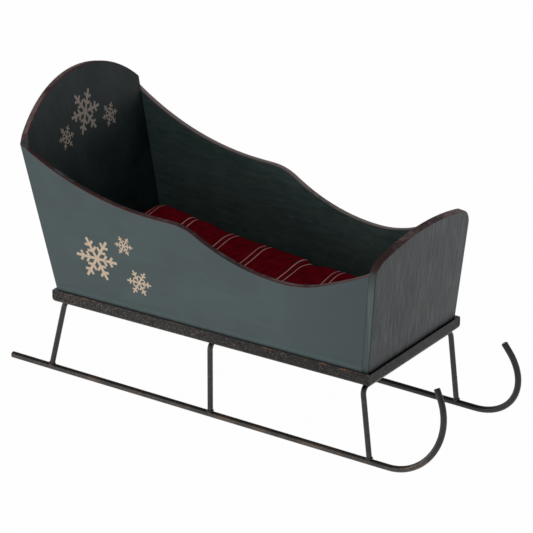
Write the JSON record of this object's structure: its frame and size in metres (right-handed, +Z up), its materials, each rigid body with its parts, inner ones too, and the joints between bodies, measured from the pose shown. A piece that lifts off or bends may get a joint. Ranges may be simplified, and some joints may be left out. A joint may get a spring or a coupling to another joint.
{
  "type": "toy sleigh",
  "caption": "Doll-size toy sleigh: open wooden box with an arched headboard and S-curved sides, a loose cushion, a metal base frame, wire legs and curled wire runners to slide on.",
  "frame": {"origin": "on the floor, under the middle of the whole sleigh's box", "axes": "+X forward, to the runners' curls; +Y to the sleigh's left; +Z up"},
  "size_m": [0.2788, 0.1084, 0.1618],
  "materials": {
    "painted_wood": "matte paint, sanded edges",
    "frame_metal": "dark, worn",
    "wire_metal": "dark, worn",
    "cushion_fabric": "woven, striped"
  },
  "bodies": {
    "root": {"back_panel": "painted_wood", "front_panel": "painted_wood", "side_panel_left": "painted_wood", "side_panel_right": "painted_wood", "floor_panel": "painted_wood", "base_rail_left": "frame_metal", "base_rail_right": "frame_metal", "base_rail_front": "frame_metal", "base_rail_rear": "frame_metal", "leg_bow_rear": "wire_metal", "leg_bow_middle": "wire_metal", "leg_bow_front": "wire_metal", "runner_left": "wire_metal", "runner_right": "wire_metal", "cushion": "cushion_fabric"}
  },
  "joints": []
}
